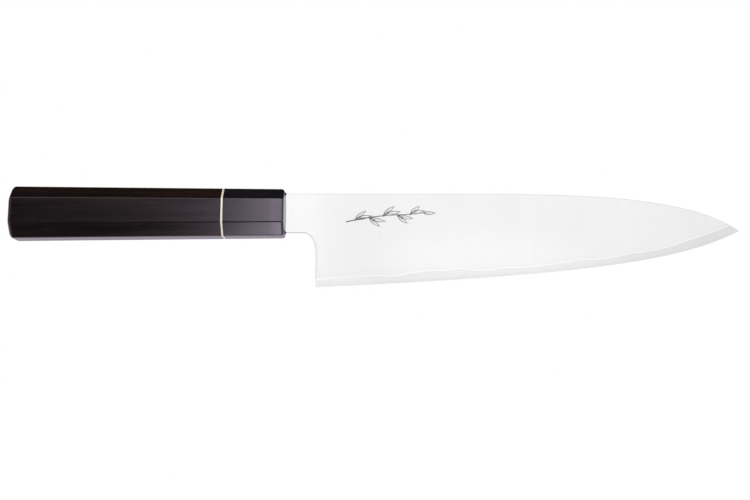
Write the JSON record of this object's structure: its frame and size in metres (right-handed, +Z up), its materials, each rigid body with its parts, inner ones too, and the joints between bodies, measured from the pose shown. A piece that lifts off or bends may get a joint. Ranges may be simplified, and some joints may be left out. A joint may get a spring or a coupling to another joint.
{
  "type": "chef knife",
  "caption": "Chef's knife with a laminated steel blade, a hidden tang, and an octagonal dark wood handle with a pale ring and a horn ferrule.",
  "frame": {"origin": "middle of the underside of the box round the knife, which lies on the right side flat of its handle", "axes": "+X from butt to tip, +Y from edge to spine, +Z up, square to the blade's middle plane, which is 9.75 mm above the origin"},
  "size_m": [0.3626, 0.05, 0.0195],
  "materials": {
    "core_steel": "satin",
    "cladding_steel": "satin",
    "ebony": "satin",
    "bone": "satin",
    "horn": "gloss",
    "dowel_wood": "matte",
    "adhesive": "satin",
    "seal_resin": "satin"
  },
  "bodies": {
    "root": {"core_steel": "core_steel", "cladding_left": "cladding_steel", "cladding_right": "cladding_steel", "handle_body": "ebony", "spacer_ring": "bone", "ferrule": "horn", "core_dowel": "dowel_wood", "tang_adhesive": "adhesive", "mouth_seal": "seal_resin"}
  },
  "joints": []
}
